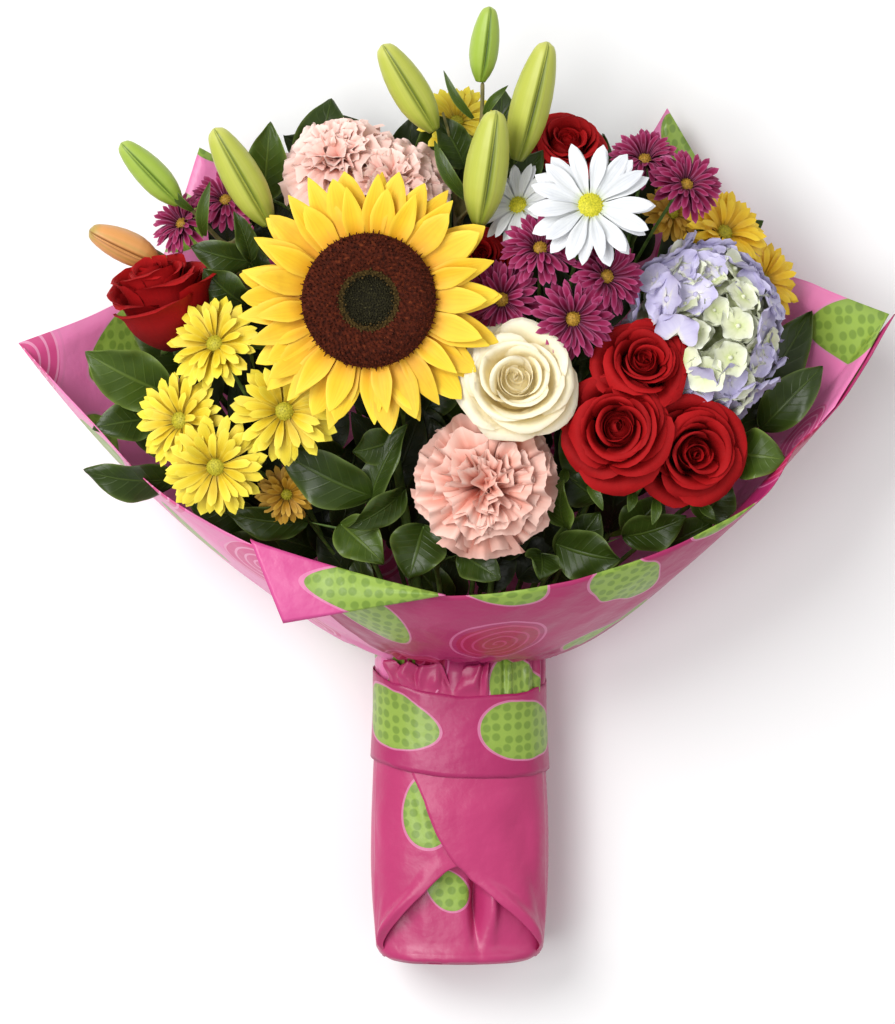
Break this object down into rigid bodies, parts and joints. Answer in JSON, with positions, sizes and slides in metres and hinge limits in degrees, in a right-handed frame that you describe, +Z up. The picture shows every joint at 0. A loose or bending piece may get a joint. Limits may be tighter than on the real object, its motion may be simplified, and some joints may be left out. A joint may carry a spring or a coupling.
{
  "type": "flower bouquet",
  "caption": "Mixed hand-tied flower bouquet in a gathered printed paper wrapper with a flared collar, a neck band and a folded foot, lying on its back.",
  "frame": {"origin": "centre of the width, on the table, under the flat back of the paper band that closes the neck", "axes": "+X to the right as seen from above with the flowers at the top, +Y from the folded foot to the flower heads, +Z up, out of the front of the bouquet"},
  "size_m": [0.4846, 0.543, 0.1737],
  "materials": {
    "wrapper_paper": "satin",
    "sunflower_rays": "matte",
    "sunflower_disc": "matte",
    "rose_cream": "matte",
    "rose_red": "matte",
    "carnation_blush": "matte",
    "daisy_white": "matte",
    "hydrangea_lilac": "matte",
    "mum_purple": "matte",
    "mum_yellow": "matte",
    "mum_bronze": "matte",
    "lily_bud_green": "satin",
    "lily_bud_orange": "satin",
    "leaf_green": "satin",
    "stem_green": "satin",
    "raffia": "matte"
  },
  "bodies": {
    "root": {"wrap_sleeve": "wrapper_paper", "wrap_back_sheet": "wrapper_paper", "wrap_front_sheet": "wrapper_paper", "wrap_band": "wrapper_paper", "wrap_foot_flap_left": "wrapper_paper", "wrap_foot_flap_right": "wrapper_paper", "sunflower_disc": "sunflower_disc", "sunflower_rays": "sunflower_rays", "sunflower_stem": "stem_green", "rose_cream_petals": "rose_cream", "rose_cream_stem": "stem_green", "rose_red_front_petals": "rose_red", "rose_red_front_stem": "stem_green", "rose_red_upper_petals": "rose_red", "rose_red_upper_stem": "stem_green", "rose_red_right_petals": "rose_red", "rose_red_right_stem": "stem_green", "rose_red_left_petals": "rose_red", "rose_red_left_stem": "stem_green", "rose_red_back_petals": "rose_red", "rose_red_back_stem": "stem_green", "rose_red_heart_petals": "rose_red", "rose_red_heart_stem": "stem_green", "carnation_front_petals": "carnation_blush", "carnation_front_stem": "stem_green", "carnation_back_left_petals": "carnation_blush", "carnation_back_left_stem": "stem_green", "carnation_back_right_petals": "carnation_blush", "carnation_back_right_stem": "stem_green", "daisy_white_front_rays": "daisy_white", "daisy_white_front_stem": "stem_green", "daisy_white_back_rays": "daisy_white", "daisy_white_back_stem": "stem_green", "hydrangea_florets": "hydrangea_lilac", "hydrangea_stem": "stem_green", "mum_purple_front": "mum_purple", "mum_purple_back": "mum_purple", "mum_purple_left": "mum_purple", "mum_yellow_front": "mum_yellow", "mum_yellow_right": "mum_yellow", "mum_yellow_top": "mum_yellow", "mum_bronze_back": "mum_bronze", "mum_bronze_front": "mum_bronze", "lily_top": "lily_bud_green", "lily_left": "lily_bud_green", "lily_orange_bud": "lily_bud_orange", "salal_left": "leaf_green", "salal_front_left": "leaf_green", "salal_front": "leaf_green", "salal_front_right": "leaf_green", "salal_right": "leaf_green", "salal_back": "leaf_green", "salal_back_right": "leaf_green", "stem_tie": "raffia"}
  },
  "joints": []
}
